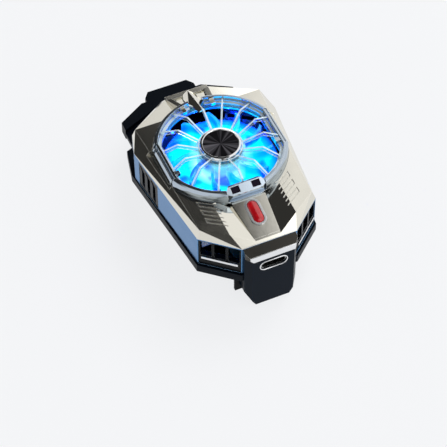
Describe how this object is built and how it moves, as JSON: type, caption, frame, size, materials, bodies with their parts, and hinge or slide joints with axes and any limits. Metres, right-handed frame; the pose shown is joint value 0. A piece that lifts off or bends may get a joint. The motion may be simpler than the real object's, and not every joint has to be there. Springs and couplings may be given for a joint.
{
  "type": "phone cooling fan",
  "caption": "Clamp-on phone cooler with a lit ribbed fan, faceted plated housing, side louvres, USB-C socket, button and a sprung sliding jaw.",
  "frame": {"origin": "on the fan's axis, on the cold plate's face that touches the phone", "axes": "+X to the right, +Y towards the sliding jaw, +Z away from the phone, out of the fan"},
  "size_m": [0.0524, 0.089, 0.0358],
  "materials": {
    "plated_shell": "gunmetal chrome plating on ABS",
    "dark_plate": "dark satin plating on ABS",
    "plated_wall": "steel blue plating on ABS",
    "chrome_trim": "bright chrome plating on ABS",
    "window_tint": "dark violet gloss",
    "black_abs": "fine moulded texture",
    "cap_black": "spun radial sheen",
    "clear_guard": "clear moulded polycarbonate",
    "blue_fan": "translucent blue polycarbonate",
    "diffuser": "frosted light guide",
    "red_button": "gloss",
    "silicone": "matt",
    "aluminium": "machined",
    "ceramic": "fired alumina",
    "circuit_board": "solder mask",
    "white_board": "white solder mask",
    "led": "resin lens",
    "switch_black": "moulded",
    "steel": "nickel plated",
    "bronze": "sintered",
    "copper": "enamelled wire",
    "ferrite": "bonded magnet"
  },
  "bodies": {
    "housing": {"top_shell": "plated_shell", "fan_ring": "plated_shell", "rear_bridge": "plated_shell", "switch_panel": "dark_plate", "nose_cover": "dark_plate", "side_wall": "plated_wall", "left_vent": "plated_wall", "right_vent": "plated_wall", "left_clasp": "chrome_trim", "right_clasp": "chrome_trim", "front_clasp": "chrome_trim", "cap_ring": "chrome_trim", "button_bezel": "chrome_trim", "left_sill": "chrome_trim", "right_sill": "chrome_trim", "left_louvre": "chrome_trim", "right_louvre": "chrome_trim", "nose_stripe": "chrome_trim", "clasp_windows": "window_tint", "base_tray": "black_abs", "front_jaw": "black_abs", "fan_frame": "black_abs", "guard_cap": "cap_black", "fan_guard": "clear_guard", "light_diffuser": "diffuser", "front_pad": "silicone", "cold_plate": "aluminium", "heat_sink": "aluminium", "thermoelectric_module": "ceramic", "switch_board": "circuit_board", "control_board": "circuit_board", "led_board": "white_board", "leds": "led", "tact_switch": "switch_black", "usb_tongue": "switch_black", "jaw_screws": "steel", "sink_screws": "steel", "base_screws": "steel", "usb_shell": "steel", "clamp_springs": "steel", "bearing": "bronze", "stator": "copper"},
    "fan_rotor": {"fan": "blue_fan", "fan_magnet": "ferrite", "fan_shaft": "steel"},
    "clamp": {"rear_jaw": "black_abs", "rear_pad": "silicone"},
    "button": {"power_button": "red_button"}
  },
  "joints": [
    {"name": "fan_spin", "type": "hinge", "parent": "housing", "child": "fan_rotor", "pos_m": [0, 0, 0], "axis": [0, 0, 1], "continuous": true},
    {"name": "clamp_slide", "type": "slide", "parent": "housing", "child": "clamp", "axis": [0, 1, 0], "range_m": [-0.006, 0.014], "stiffness_N_per_m": 250, "springref_m": -0.01, "deforming": ["clamp_springs"]},
    {"name": "button_press", "type": "slide", "parent": "housing", "child": "button", "axis": [0, 0.1546, -0.988], "range_m": [0, 0.0005], "stiffness_N_per_m": 1500}
  ]
}
